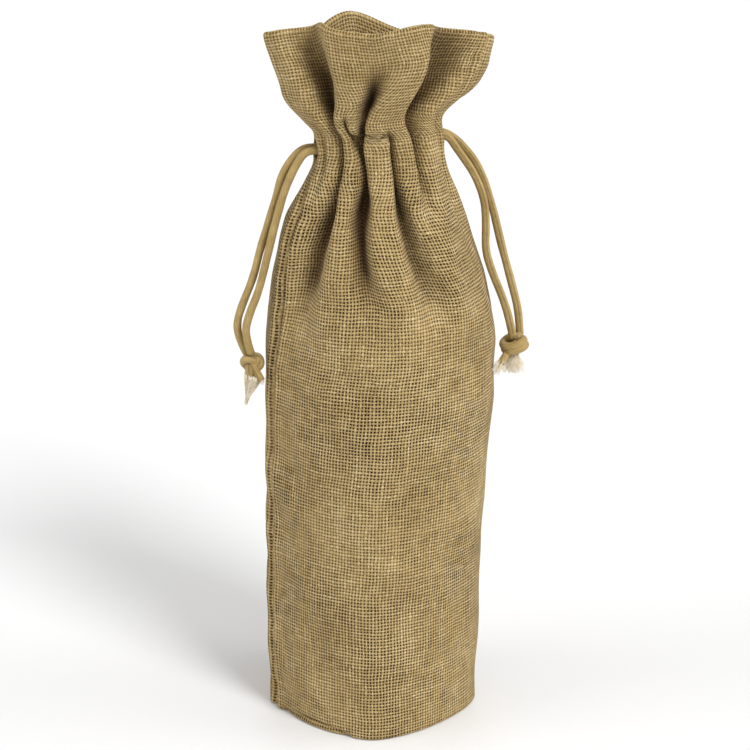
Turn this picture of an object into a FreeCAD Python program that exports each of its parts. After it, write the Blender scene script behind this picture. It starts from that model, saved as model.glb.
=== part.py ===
import FreeCAD, Part
import math
import os

Vector = FreeCAD.Vector

# Jute drawstring wine gift bag, standing, full and cinched. Millimetres, +Z up, origin at the
# centre of the base on the surface that the bag stands on. +X is to the right, the front faces -Y.
# Two cloth panels meet in side seams at +X and -X. Their tops fold inwards and down, which makes
# the two-ply header and, between two rows of stitches, the casing that both drawstrings run in.

# Cloth
CLOTH = 1.2
SEAM_ALLOWANCE = 8.0
THREAD_D = 0.7
STITCH_LENGTH = 3.2
STITCH_PITCH = 5.0

# The bag's outside: height, half width (X), half depth (Y)
RIM_Z = 316.0
OUTSIDE = (
    (0.0, 46.6, 44.0),
    (6.0, 47.5, 44.9),
    (28.0, 48.0, 45.1),
    (60.0, 48.2, 45.2),
    (110.0, 49.3, 45.8),
    (150.0, 50.6, 46.4),
    (180.0, 49.8, 45.6),
    (200.0, 47.2, 43.0),
    (220.0, 42.2, 38.5),
    (240.0, 35.4, 32.0),
    (253.0, 30.0, 26.0),
    (264.0, 27.7, 23.0),
    (275.0, 29.6, 23.2),
    (289.0, 41.0, 25.8),
    (302.0, 47.4, 29.6),
    (RIM_Z, 49.5, 32.0),
)

# Casing: the tunnel, and the round way through the gathers that a bottle's neck fills
TUNNEL_LOW = 260.2
TUNNEL_HIGH = 270.0
NECK_VOID_R = 15.2
FACING_LOW = 254.0
STITCH_ROW_GAP = 1.6
EXIT_HALF_WIDTH = 5.6

# The inside of the header and of the gathers: height, half width, half depth
PASSAGE = (
    (FACING_LOW - 2.0, 27.4, 23.0),
    (FACING_LOW + 1.0, 24.0, 20.0),
    (TUNNEL_LOW - 1.0, NECK_VOID_R, NECK_VOID_R),
    ((TUNNEL_LOW + TUNNEL_HIGH) / 2, NECK_VOID_R, NECK_VOID_R),
    (TUNNEL_HIGH + 1.5, NECK_VOID_R, NECK_VOID_R),
    (280.0, 24.5, 17.6),
    (289.0, 37.8, 22.8),
    (302.0, 44.9, 27.1),
    (RIM_Z + 2.0, 47.3, 29.9),
)

# Base
BASE_SEAM_HEIGHT = 8.0
BASE_SEAM_PLY = 1.3

# Drawstrings. Each is one cord with both ends on its own side, and the two lie one above the other.
CORD_D = 3.5
CORD_R = CORD_D / 2
RUN_R = 19.1
STRAND_Y = 3.0
LEAD_INNER_X = 17.6
LEAD_OUTER_X = 28.9
GAP = 0.4
PIVOT_X = LEAD_OUTER_X + GAP + CORD_R
LEFT_Z = 262.8
RIGHT_Z = 267.4
ARC_SHARE = 0.45

# The free strands' routes, from the pivot just outside the casing to the knot
LEFT_FRONT_ROUTE = (
    (-PIVOT_X, -STRAND_Y, LEFT_Z),
    (-35.5, -3.0, 256.5),
    (-39.7, -2.8, 247.5),
    (-42.8, -2.5, 237.5),
    (-46.0, -2.2, 225.5),
    (-49.2, -1.8, 212.0),
    (-52.0, -1.4, 201.0),
    (-56.4, -1.0, 190.5),
    (-58.4, -0.6, 182.2),
    (-57.0, -0.2, 174.4),
)
LEFT_BACK_ROUTE = (
    (-PIVOT_X, STRAND_Y, LEFT_Z),
    (-36.3, 3.0, 258.0),
    (-40.8, 3.0, 250.5),
    (-43.0, 3.0, 241.0),
    (-46.7, 3.1, 230.0),
    (-50.4, 3.3, 218.5),
    (-53.4, 3.5, 206.0),
    (-59.0, 3.7, 193.0),
    (-61.3, 3.9, 184.5),
    (-60.0, 4.0, 177.5),
    (-58.2, 4.0, 171.8),
)
RIGHT_FRONT_ROUTE = (
    (PIVOT_X, -STRAND_Y, RIGHT_Z),
    (36.0, -3.6, 260.0),
    (43.0, -5.0, 250.0),
    (47.3, -6.5, 238.8),
    (48.0, -8.0, 227.5),
    (47.2, -9.6, 216.5),
    (50.3, -11.0, 206.0),
    (55.0, -12.4, 195.5),
    (59.2, -13.6, 184.5),
    (60.9, -14.6, 174.6),
)
RIGHT_BACK_ROUTE = (
    (PIVOT_X, STRAND_Y, RIGHT_Z),
    (38.8, 2.3, 262.0),
    (47.0, 0.8, 251.0),
    (52.2, -1.6, 234.5),
    (56.2, -4.3, 216.5),
    (60.9, -7.0, 200.0),
    (64.8, -9.4, 185.5),
    (64.9, -10.8, 175.0),
)

# Knots: centre, radius, height. Each ties its cord's two ends together.
LEFT_KNOT = ((-57.6, 1.8, 168.6), 5.5, 12.4)
RIGHT_KNOT = ((61.6, -12.7, 171.4), 6.5, 8.4)

# Cut ends below the knots: start, tip, radius at the knot, radius at the frayed tip
LEFT_ENDS = {
    "left_cord_end_long": ((-58.3, 1.2, 165.5), (-60.1, 1.0, 152.6), CORD_R, 0.9),
    "left_cord_end_short": ((-56.0, -0.6, 166.5), (-54.3, -5.0, 160.8), CORD_R, 2.1),
}
RIGHT_ENDS = {
    "right_cord_end_long": ((58.6, -14.4, 169.6), (53.8, -17.2, 161.0), CORD_R, 2.4),
    "right_cord_end_short": ((63.0, -13.4, 169.4), (63.6, -15.0, 160.6), CORD_R, 2.4),
}


def ellipse_wire(z, half_width, half_depth):
    """A level ellipse, or a circle where both halves are the same."""
    centre = Vector(0, 0, z)
    if abs(half_width - half_depth) < 1e-6:
        curve = Part.Circle(centre, Vector(0, 0, 1), half_width)
    else:
        curve = Part.Ellipse(centre, half_width, half_depth)
    return Part.Wire([curve.toShape()])


def loft(levels, inset=0.0):
    """A solid through level ellipses, each drawn in by the inset."""
    wires = [ellipse_wire(z, a - inset, b - inset) for z, a, b in levels]
    return Part.makeLoft(wires, True, False)


def slab(low, high, reach=200.0):
    """Everything between two heights."""
    return Part.makeBox(2 * reach, 2 * reach, high - low, Vector(-reach, -reach, low))


def front_half():
    return Part.makeBox(400, 200, 400, Vector(-200, -200, -10))


def back_half():
    return Part.makeBox(400, 200, 400, Vector(-200, 0, -10))


def size_at(z):
    """The outside's half width and half depth at a height."""
    for (z0, a0, b0), (z1, a1, b1) in zip(OUTSIDE, OUTSIDE[1:]):
        if z0 <= z <= z1:
            share = (z - z0) / (z1 - z0)
            return a0 + share * (a1 - a0), b0 + share * (b1 - b0)
    raise ValueError("height outside the bag")


def extended(levels, reach=1.0):
    """The same levels with both ends moved outwards, so that a cut leaves no skin."""
    z0, a0, b0 = levels[0]
    z1, a1, b1 = levels[-1]
    return ((z0 - reach, a0, b0),) + tuple(levels[1:-1]) + ((z1 + reach, a1, b1),)


def save(name, shape):
    """Checks a node's shape and writes it to its own STEP file."""
    if not shape.isValid():
        raise ValueError(name + " is not valid")
    shape.exportStep("parts/" + name + ".step")
    solids = len(shape.Solids)
    print("%-28s %3d solid(s) %10.1f mm3" % (name, solids, shape.Volume))


def cloth_nodes():
    """The two panels, their folded-in facings, the base and the seam allowances."""
    lining = loft(extended(OUTSIDE), CLOTH)
    passage = loft(PASSAGE)
    exits = Part.makeCompound([
        Part.makeBox(20, 2 * EXIT_HALF_WIDTH, TUNNEL_HIGH - TUNNEL_LOW,
                     Vector(x, -EXIT_HALF_WIDTH, TUNNEL_LOW))
        for x in (-40, 20)
    ])
    wall = loft(OUTSIDE).cut(lining)
    save("front_panel", wall.common(front_half()).cut(exits))
    save("back_panel", wall.common(back_half()).cut(exits))

    inner_ply_r = NECK_VOID_R + CLOTH
    tube = Part.makeCylinder(inner_ply_r, TUNNEL_HIGH - TUNNEL_LOW, Vector(0, 0, TUNNEL_LOW))
    tunnel = slab(TUNNEL_LOW, TUNNEL_HIGH).cut(tube)
    facing = lining.common(slab(FACING_LOW, RIM_Z)).cut(passage).cut(tunnel)
    save("front_facing", facing.common(front_half()))
    save("back_facing", facing.common(back_half()))

    save("base_panel", lining.common(slab(0.0, CLOTH)))
    ring = lining.cut(loft(extended(OUTSIDE), CLOTH + BASE_SEAM_PLY))
    seam_top = CLOTH + BASE_SEAM_HEIGHT
    save("base_seam_allowance", ring.common(slab(CLOTH, seam_top)))

    core = loft(extended(OUTSIDE), CLOTH + SEAM_ALLOWANCE)
    strips = lining.cut(core).common(slab(seam_top, FACING_LOW - 0.3))
    for name, x in (("left_seam_allowance", -100), ("right_seam_allowance", 0)):
        keep = Part.makeBox(100, 2 * CLOTH, 400, Vector(x, -CLOTH, 0))
        save(name, strips.common(keep))


def side_stitches(sign):
    """Stitches through both plies of a side seam's allowance, one above another."""
    stitches = []
    half_length = CLOTH + THREAD_D / 2
    count = int((FACING_LOW - CLOTH - BASE_SEAM_HEIGHT - STITCH_PITCH) / STITCH_PITCH)
    for i in range(count):
        z = CLOTH + BASE_SEAM_HEIGHT + STITCH_PITCH * (i + 0.6)
        x = sign * (size_at(z)[0] - CLOTH - 1.8)
        start = Vector(x, -half_length, z)
        stitches.append(Part.makeCylinder(THREAD_D / 2, 2 * half_length, start, Vector(0, 1, 0)))
    return Part.makeCompound(stitches)


def stitch_row(z, inset):
    """A level row of stitches round the bag, each lying along the cloth, clear of the side seams."""
    a, b = size_at(z)
    a, b = a - inset, b - inset
    count = 2 * int(math.pi * math.sqrt((a * a + b * b) / 2) / STITCH_PITCH)
    stitches = []
    for i in range(count):
        turn = 2 * math.pi * (i + 0.5) / count
        middle = Vector(a * math.cos(turn), b * math.sin(turn), z)
        along = Vector(-a * math.sin(turn), b * math.cos(turn), 0).normalize()
        start = middle - along * (STITCH_LENGTH / 2)
        stitches.append(Part.makeCylinder(THREAD_D / 2, STITCH_LENGTH, start, along))
    return Part.makeCompound(stitches)


def rounded_path(points, label):
    """Straight runs joined by tangent arcs, each as large as its two runs allow."""
    points = [Vector(*p) for p in points]
    edges = []
    radii = []
    at = points[0]
    for before, corner, after in zip(points, points[1:], points[2:]):
        back = (before - corner).normalize()
        on = (after - corner).normalize()
        turn = math.pi - back.getAngle(on)
        reach = ARC_SHARE * min((corner - before).Length, (after - corner).Length)
        radius = reach / math.tan(turn / 2)
        radii.append(radius)
        start = corner + back * reach
        end = corner + on * reach
        inward = (back + on).normalize()
        middle = corner + inward * (radius / math.cos(turn / 2) - radius)
        edges.append(Part.LineSegment(at, start).toShape())
        edges.append(Part.Arc(start, middle, end).toShape())
        at = end
    edges.append(Part.LineSegment(at, points[-1]).toShape())
    print("%s: bend radii %s" % (label, " ".join("%.0f" % r for r in radii)))
    return Part.Wire(edges)


def cord_tube(points, label):
    """A round cord along a rounded path, with its volume compared with its section times length."""
    path = rounded_path(points, label)
    start = Vector(*points[0])
    along = (Vector(*points[1]) - start).normalize()
    section = Part.Wire([Part.Circle(start, along, CORD_R).toShape()])
    tube = path.makePipeShell([section], True, True)
    expected = math.pi * CORD_R ** 2 * path.Length
    print("%s: length %.1f mm, volume ratio %.4f" % (label, path.Length, tube.Volume / expected))
    return tube


def knot(centre, radius, height):
    """Two wraps of cord pulled tight, one above the other, as one turned body."""
    x, y, z = centre
    half = height / 2
    waist = radius * 0.86
    belly = radius
    top = radius * 0.45
    outline = [
        Part.LineSegment(Vector(0, 0, -half), Vector(top, 0, -half)).toShape(),
        Part.Arc(Vector(top, 0, -half), Vector(belly, 0, -half / 2), Vector(waist, 0, 0)).toShape(),
        Part.Arc(Vector(waist, 0, 0), Vector(belly, 0, half / 2), Vector(top, 0, half)).toShape(),
        Part.LineSegment(Vector(top, 0, half), Vector(0, 0, half)).toShape(),
        Part.LineSegment(Vector(0, 0, half), Vector(0, 0, -half)).toShape(),
    ]
    face = Part.Face(Part.Wire(outline))
    body = face.revolve(Vector(0, 0, 0), Vector(0, 0, 1), 360)
    body.translate(Vector(x, y, z))
    return body


def cord_end(start, tip, start_r, tip_r):
    """A cut end, frayed into a narrow or a spreading brush."""
    start = Vector(*start)
    along = Vector(*tip) - start
    return Part.makeCone(start_r, tip_r, along.Length, start, along)


def drawstring_nodes(side, sign, z, routes, knot_size, ends):
    """One drawstring: its run in the casing, the leads, the strands, the knot and the cut ends."""
    clear_y = STRAND_Y + CORD_R + GAP
    start_turn = math.degrees(math.asin(clear_y / RUN_R))
    run = Part.makeTorus(RUN_R, CORD_R, Vector(0, 0, z), Vector(0, 0, 1), -180, 180,
                         360 - 2 * start_turn)
    turn = start_turn if sign > 0 else 180 + start_turn
    run.rotate(Vector(0, 0, z), Vector(0, 0, 1), turn)
    save(side + "_cord_run", run)
    for name, y, route in (("front", -STRAND_Y, routes[0]), ("back", STRAND_Y, routes[1])):
        lead = Part.makeCylinder(CORD_R, LEAD_OUTER_X - LEAD_INNER_X,
                                 Vector(sign * LEAD_INNER_X, y, z), Vector(sign, 0, 0))
        save(side + "_lead_" + name, lead)
        node = side + "_strand_" + name
        tube = cord_tube(route, node)
        nose = Part.makeSphere(CORD_R, Vector(*route[0]))
        save(node, tube.fuse(nose))
    save(side + "_knot", knot(*knot_size))
    for name, shape in ends.items():
        save(name, cord_end(*shape))


def main():
    os.makedirs("parts", exist_ok=True)
    cloth_nodes()
    save("left_side_stitches", side_stitches(-1))
    save("right_side_stitches", side_stitches(1))
    save("casing_lower_stitches", stitch_row(TUNNEL_LOW - STITCH_ROW_GAP, 0.1))
    save("casing_upper_stitches", stitch_row(TUNNEL_HIGH + STITCH_ROW_GAP, 0.1))
    save("base_stitches", stitch_row(CLOTH + BASE_SEAM_HEIGHT / 2, CLOTH + BASE_SEAM_PLY))
    drawstring_nodes("left", -1, LEFT_Z, (LEFT_FRONT_ROUTE, LEFT_BACK_ROUTE), LEFT_KNOT, LEFT_ENDS)
    drawstring_nodes("right", 1, RIGHT_Z, (RIGHT_FRONT_ROUTE, RIGHT_BACK_ROUTE), RIGHT_KNOT,
                     RIGHT_ENDS)


main()
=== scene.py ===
"""The looks of a jute drawstring wine bag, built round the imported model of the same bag.

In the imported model's frame the bag stands on z = 0, its front faces -Y and its side seams are at
-X and +X. Cloth and cords are worked out in millimetres, which MM turns into metres.
"""
import math

import bpy
import numpy as np
from mathutils import Matrix, Vector


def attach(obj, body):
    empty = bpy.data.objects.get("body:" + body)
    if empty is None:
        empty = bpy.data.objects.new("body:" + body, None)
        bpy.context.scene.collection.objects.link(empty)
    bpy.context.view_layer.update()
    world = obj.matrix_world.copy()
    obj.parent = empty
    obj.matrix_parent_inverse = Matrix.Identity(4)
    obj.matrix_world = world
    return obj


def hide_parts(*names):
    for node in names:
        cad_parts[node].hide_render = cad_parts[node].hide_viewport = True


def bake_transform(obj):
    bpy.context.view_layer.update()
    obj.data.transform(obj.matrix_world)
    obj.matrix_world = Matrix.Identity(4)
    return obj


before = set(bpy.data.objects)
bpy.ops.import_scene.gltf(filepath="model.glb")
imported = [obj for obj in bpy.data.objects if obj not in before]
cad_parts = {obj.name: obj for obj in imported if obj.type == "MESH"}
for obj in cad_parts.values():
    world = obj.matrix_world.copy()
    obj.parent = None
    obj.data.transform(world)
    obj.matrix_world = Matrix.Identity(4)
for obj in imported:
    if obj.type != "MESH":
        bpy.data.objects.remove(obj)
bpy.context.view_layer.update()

MM = 0.001
SEED = 7
draw = np.random.default_rng(SEED)

# ---- camera

CAMERA_TURN = math.radians(12.0)  # how far to the left of the front the camera stands
CAMERA_DISTANCE = 0.9856
CAMERA_HEIGHT = 0.4928
CAMERA_TARGET = Vector((0, 0, 0.1585))
CAMERA_LENS = 112.1


def add_object(name, data):
    obj = bpy.data.objects.new(name, data)
    bpy.context.scene.collection.objects.link(obj)
    return obj


def make_camera():
    data = bpy.data.cameras.new("camera")
    data.lens = CAMERA_LENS
    data.sensor_width = 36
    data.clip_start = 0.01
    data.clip_end = 50
    camera = add_object("camera", data)
    camera.location = (-CAMERA_DISTANCE * math.sin(CAMERA_TURN),
                       -CAMERA_DISTANCE * math.cos(CAMERA_TURN), CAMERA_HEIGHT)
    aim = CAMERA_TARGET - camera.location
    camera.rotation_mode = "QUATERNION"
    camera.rotation_quaternion = aim.to_track_quat("-Z", "Y")
    bpy.context.scene.camera = camera


# ---- mesh helpers

def set_smooth(mesh):
    mesh.polygons.foreach_set("use_smooth", [True] * len(mesh.polygons))
    mesh.update()


def grid_faces(rows, cols, wrap=False):
    """Quads of a grid of points, stored row by row. A wrapped grid closes from its last column."""
    i = np.arange(rows - 1)[:, None]
    j = np.arange(cols if wrap else cols - 1)[None, :]
    k = (j + 1) % cols
    quads = [i * cols + j, i * cols + k, (i + 1) * cols + k, (i + 1) * cols + j]
    return np.stack([np.broadcast_to(q, (rows - 1, j.size)) for q in quads], axis=-1).reshape(-1, 4)


def tube_faces(rows, sides, first):
    """Faces of a tube with closed ends, whose points start at that number."""
    last = first + (rows - 1) * sides
    ends = [[first + k for k in range(sides)][::-1], [last + k for k in range(sides)]]
    return (grid_faces(rows, sides, wrap=True) + first).tolist() + ends


def mesh_from(name, points, faces, uv=None, painted_fold_shade=None):
    """A smooth mesh from points, faces and, where given, a UV pair and an amount of painted shade from the
    folds for each point.
    """
    mesh = bpy.data.meshes.new(name)
    mesh.from_pydata(np.asarray(points).reshape(-1, 3).tolist(), [], [list(map(int, f)) for f in faces])
    if uv is not None:
        layer = mesh.uv_layers.new(name="cloth")
        corner = np.zeros(len(mesh.loops), int)
        mesh.loops.foreach_get("vertex_index", corner)
        layer.data.foreach_set("uv", np.asarray(uv, float).reshape(-1, 2)[corner].ravel())
    if painted_fold_shade is not None:
        # the painted shade from the folds, kept as a value at each point
        painted_shade_layer = mesh.attributes.new("painted_fold_shade", "FLOAT", "POINT")
        painted_shade_layer.data.foreach_set("value", np.asarray(painted_fold_shade, float).ravel())
    mesh.validate()
    set_smooth(mesh)
    return mesh


def thickened(obj, thickness):
    """The object with its sheet made into a closed shell of that thickness."""
    solidify = obj.modifiers.new("thickness", "SOLIDIFY")
    solidify.thickness = thickness
    solidify.offset = 0
    bpy.context.view_layer.update()
    shell = bpy.data.meshes.new_from_object(obj.evaluated_get(bpy.context.evaluated_depsgraph_get()))
    obj.modifiers.clear()
    obj.data = shell
    set_smooth(shell)
    return obj


def bell(x, middle, half):
    """1 at the middle, falling to nearly 0 at twice the half width away."""
    return np.exp(-((np.asarray(x, float) - middle) / half) ** 2)


def smoothed(values, width, mode="edge"):
    """Values blurred over a window of that many steps."""
    window = np.hanning(width)
    return np.convolve(np.pad(values, width // 2, mode=mode), window / window.sum(), mode="valid")


def smoothstep(x, low, high):
    """0 below low, 1 above high and a smooth climb between."""
    t = np.clip((np.asarray(x, float) - low) / (high - low), 0, 1)
    return t * t * (3 - 2 * t)


def frames_along(path):
    """Two unit vectors across a path at each of its points, which twist as little as can be."""
    path = np.asarray(path, float)
    tangent = np.gradient(path, axis=0)
    tangent /= np.linalg.norm(tangent, axis=1)[:, None]
    side = np.cross(tangent[0], (0, 0, 1.0))
    if np.linalg.norm(side) < 0.1:
        side = np.cross(tangent[0], (0, 1.0, 0))
    sides = []
    for t in tangent:
        side = side - (side @ t) * t
        side = side / np.linalg.norm(side)
        sides.append(side)
    sides = np.array(sides)
    return sides, np.cross(tangent, sides)


def tube_mesh(name, paths, sides=14, closed=False):
    """One mesh of tubes with closed ends, or loops. Each path is (points, radius at each point)."""
    points, faces, uvs = [], [], []
    count = 0
    for path, radius in paths:
        path = np.asarray(path, float)
        radius = np.broadcast_to(np.asarray(radius, float), (len(path),))
        across, up = frames_along(path)
        turn = np.linspace(0, 2 * math.pi, sides, endpoint=False)
        ring = (across[:, None] * np.cos(turn)[None, :, None] + up[:, None] * np.sin(turn)[None, :, None])
        body = path[:, None] + ring * radius[:, None, None]
        length = np.concatenate([[0], np.cumsum(np.linalg.norm(np.diff(path, axis=0), axis=1))])
        uv = np.stack(np.broadcast_arrays(turn[None, :] / (2 * math.pi), length[:, None] / MM), axis=-1)
        points.append(body.reshape(-1, 3))
        uvs.append(uv.reshape(-1, 2))
        faces += tube_faces(len(path), sides, count)
        if closed:
            last = count + (len(path) - 1) * sides
            faces[-2:] = [[last + k, last + (k + 1) % sides, count + (k + 1) % sides, count + k]
                          for k in range(sides)]
        count += len(path) * sides
    return mesh_from(name, np.concatenate(points), faces, np.concatenate(uvs))


# ---- materials

def feed(tree, slot, value):
    """An input of a node is given a field, another node's output or a plain number or colour."""
    if isinstance(value, Field):
        tree.links.new(value.socket, slot)
    elif isinstance(value, bpy.types.NodeSocket):
        tree.links.new(value, slot)
    else:
        slot.default_value = value if isinstance(value, (int, float)) else (*value, 1)


class Field:
    """A number that a material works out at each point of a surface, written as plain arithmetic."""

    def __init__(self, tree, socket):
        self.tree = tree
        self.socket = socket

    def math(self, operation, *others):
        node = self.tree.nodes.new("ShaderNodeMath")
        node.operation = operation
        for place, value in enumerate((self,) + others):
            feed(self.tree, node.inputs[place], value)
        return Field(self.tree, node.outputs[0])

    def __add__(self, other):
        return self.math("ADD", other)

    def __sub__(self, other):
        return self.math("SUBTRACT", other)

    def __mul__(self, other):
        return self.math("MULTIPLY", other)

    def __truediv__(self, other):
        return self.math("DIVIDE", other)

    def mix(self, low, high):
        """low where this is 0, high where this is 1."""
        return self * (high - low) + low


class Surface:
    """A material's node tree, its shader and the few kinds of node that the materials here use."""

    def __init__(self, name, roughness, sheen=0.0):
        self.material = bpy.data.materials.new(name)
        self.material.use_nodes = True
        self.tree = self.material.node_tree
        self.shader = self.tree.nodes["Principled BSDF"]
        self.shader.inputs["Roughness"].default_value = roughness
        self.shader.inputs["Specular IOR Level"].default_value = 0.18
        self.shader.inputs["Sheen Weight"].default_value = sheen
        self.shader.inputs["Sheen Roughness"].default_value = 0.5

    def parts(self, vector):
        node = self.tree.nodes.new("ShaderNodeSeparateXYZ")
        self.tree.links.new(vector, node.inputs[0])
        return [Field(self.tree, part) for part in node.outputs]

    def cloth_coordinates(self):
        """The piece's own UV map: across and along, in its own units."""
        node = self.tree.nodes.new("ShaderNodeUVMap")
        node.uv_map = "cloth"
        return self.parts(node.outputs[0])[:2]

    def painted_fold_shade(self):
        """How much painted shade the point gets from lying deep in the folds, from 0 to 1. A piece with no
        folds has 0.
        """
        node = self.tree.nodes.new("ShaderNodeAttribute")
        node.attribute_name = "painted_fold_shade"
        return Field(self.tree, node.outputs["Fac"])

    def place(self):
        """The point on the piece, in metres."""
        return self.tree.nodes.new("ShaderNodeTexCoord").outputs["Object"]

    def height(self):
        """How far up the piece the point is, in metres."""
        return self.parts(self.place())[2]

    def point(self, x, y, z=0.0):
        node = self.tree.nodes.new("ShaderNodeCombineXYZ")
        for axis, value in enumerate((x, y, z)):
            feed(self.tree, node.inputs[axis], value)
        return node.outputs[0]

    def noise(self, vector, scale, detail=2.0, roughness=0.5):
        node = self.tree.nodes.new("ShaderNodeTexNoise")
        node.inputs["Scale"].default_value = scale
        node.inputs["Detail"].default_value = detail
        node.inputs["Roughness"].default_value = roughness
        self.tree.links.new(vector, node.inputs["Vector"])
        return Field(self.tree, node.outputs["Fac"])

    def ramp(self, field, stops):
        """A colour for each value of the field. Stops are (value, (r, g, b)), linear colours."""
        node = self.tree.nodes.new("ShaderNodeValToRGB")
        elements = node.color_ramp.elements
        while len(elements) < len(stops):
            elements.new(0.5)
        for element, (value, colour) in zip(elements, stops):
            element.position = value
            element.color = (*colour, 1)
        self.tree.links.new(field.socket, node.inputs[0])
        return node.outputs[0]

    def blend(self, amount, low, high, kind="MIX"):
        """A mix of two colours. Each is a socket, a linear colour or a field, which counts as grey."""
        node = self.tree.nodes.new("ShaderNodeMix")
        node.data_type = "RGBA"
        node.blend_type = kind
        for place, value in ((0, amount), (6, low), (7, high)):
            feed(self.tree, node.inputs[place], value)
        return node.outputs[2]

    def colour(self, socket):
        self.tree.links.new(socket, self.shader.inputs["Base Color"])

    def bump(self, height, distance):
        node = self.tree.nodes.new("ShaderNodeBump")
        node.inputs["Strength"].default_value = 1.0
        node.inputs["Distance"].default_value = distance
        self.tree.links.new(height.socket, node.inputs["Height"])
        self.tree.links.new(node.outputs[0], self.shader.inputs["Normal"])


# Jute, linear colours
# the first two are painted shade that shows through the weave's holes: the dark inside of the bag, and the
# facing's jute in shade
HOLE_SHADE_INSIDE = (0.014, 0.006, 0.001)
HOLE_SHADE_FACING = (0.115, 0.070, 0.024)
JUTE_DARK = (0.215, 0.132, 0.040)
JUTE_MID = (0.475, 0.343, 0.152)
JUTE_PALE = (0.930, 0.800, 0.540)
PAINTED_FOLD_SHADE_COLOUR = (0.26, 0.205, 0.140)  # painted shade: what is left of the cloth's colour at the bottoms of deep folds, where little light gets in

# The weave, in yarn spacings
YARN_HALF = 0.308  # a yarn's half width
YARN_UNEVEN = 0.22  # how far that half width varies from yarn to yarn
YARN_OPEN = 0.12  # how far it varies from one part of the cloth to another
YARN_CROWN = 0.55  # how far a yarn rises and dips, in half widths
YARN_SWAY = 1.1  # how far a yarn wanders from side to side
WEAVE_DEPTH = 0.00036  # metres
LINING_FADE = 0.010  # height over which the facing starts to show behind the holes, metres

# Cord and thread, linear colours
CORD_DARK = (0.20, 0.130, 0.038)
CORD_MID = (0.42, 0.295, 0.112)
CORD_PALE = (0.66, 0.51, 0.25)
FRAY_DARK = (0.70, 0.58, 0.38)
FRAY_PALE = (0.96, 0.90, 0.74)
THREAD_DARK = (0.26, 0.17, 0.07)
THREAD_PALE = (0.56, 0.44, 0.25)


def jute_material():
    """Plain weave of uneven jute yarns, with painted shade in its holes, on its yarns' sides and deep in
    its folds, and a painted highlight on its yarns' tops. The UV map counts yarns, across and up the cloth.
    """
    s = Surface("jute_cloth", roughness=0.88, sheen=0.04)
    across, up = s.cloth_coordinates()
    plain = s.point(across, up)
    sway_x = s.noise(plain, 0.11) - 0.5
    sway_y = s.noise(s.point(up, across, 31.7), 0.11) - 0.5
    u = across + sway_x * YARN_SWAY
    v = up + sway_y * YARN_SWAY
    column = u.math("ROUND")
    row = v.math("ROUND")
    blotch = s.noise(plain, 0.045, 3.0, 0.6)
    slack = s.noise(s.point(across, up, 83.0), 0.035, 2.0) - 0.5

    def yarn(offset_across, along_index, along, phase, lane):
        """One set of yarns: whether the point is on one, how round and high it is, and its tone."""
        thick = s.noise(s.point(along_index * 3.71, along * 0.16, lane), 1.0, 1.0)
        half = (thick - 0.5) * (2 * YARN_UNEVEN) + slack * (2 * YARN_OPEN) + YARN_HALF
        across_yarn = (offset_across / half).math("ABSOLUTE")
        on_yarn = across_yarn.math("LESS_THAN", 1.0)
        round_top = (across_yarn * across_yarn * -1.0 + 1.0).math("MAXIMUM", 0.0).math("SQRT")
        wave = phase.math("COSINE")
        tone = s.noise(s.point(along_index * 7.13, along * 0.10, lane + 5.0), 1.0, 3.0, 0.65)
        return on_yarn, round_top, wave, tone

    warp_on, warp_round, warp_wave, warp_tone = yarn(u - column, column, v, (v + column) * math.pi, 3.0)
    weft_on, weft_round, weft_wave, weft_tone = yarn(v - row, row, u, (u + row) * math.pi, 57.0)
    warp_high = warp_on * (warp_round + warp_wave * YARN_CROWN + 1.0)
    weft_high = weft_on * (weft_round - weft_wave * YARN_CROWN + 1.0)
    height = warp_high.math("MAXIMUM", weft_high)
    warp_top = warp_high.math("GREATER_THAN", weft_high)
    tone = warp_top.mix(weft_tone, warp_tone)
    rounded = warp_top.mix(weft_round, warp_round)
    crown_highlight = (height - 1.0) / (1.0 + YARN_CROWN)

    fibre = s.noise(s.point(across * 2.3, up * 2.3, 9.0), 3.1, 3.0, 0.7)
    # tone, fibre and blotch are the yarn's own colour; the crown term is a painted highlight on the yarns'
    # tops at the crossings
    shade = tone * 0.66 + fibre * 0.34 + blotch * 0.38 + crown_highlight * 0.42 - 0.56
    yarn_colour = s.ramp(shade, ((0.10, JUTE_DARK), (0.50, JUTE_MID), (0.95, JUTE_PALE)))
    gap = (height * 1.6 - 0.25).math("MINIMUM", 1.0).math("MAXIMUM", 0.0)
    # painted shade: each yarn darkens towards its rounded sides, deepest at the gaps between yarns
    edge = (rounded * 0.60 + 0.58).math("MINIMUM", 1.0)
    woven = s.blend(1.0, yarn_colour, edge, "MULTIPLY")
    # the holes show painted shade: the dark inside of the bag, and, where the facing lies behind the cloth,
    # the facing's jute in shade
    lined = ((s.height() - FACING_LOW * MM) / LINING_FADE).math("MINIMUM", 1.0).math("MAXIMUM", 0.0)
    cloth = s.blend(gap, s.blend(lined, HOLE_SHADE_INSIDE, HOLE_SHADE_FACING), woven)
    # painted shade: the cloth's colour is darkened where it lies deep in its folds
    s.colour(s.blend(s.painted_fold_shade(), cloth, PAINTED_FOLD_SHADE_COLOUR, "MULTIPLY"))
    s.bump(height + fibre * 0.18, WEAVE_DEPTH)
    return s.material


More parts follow.
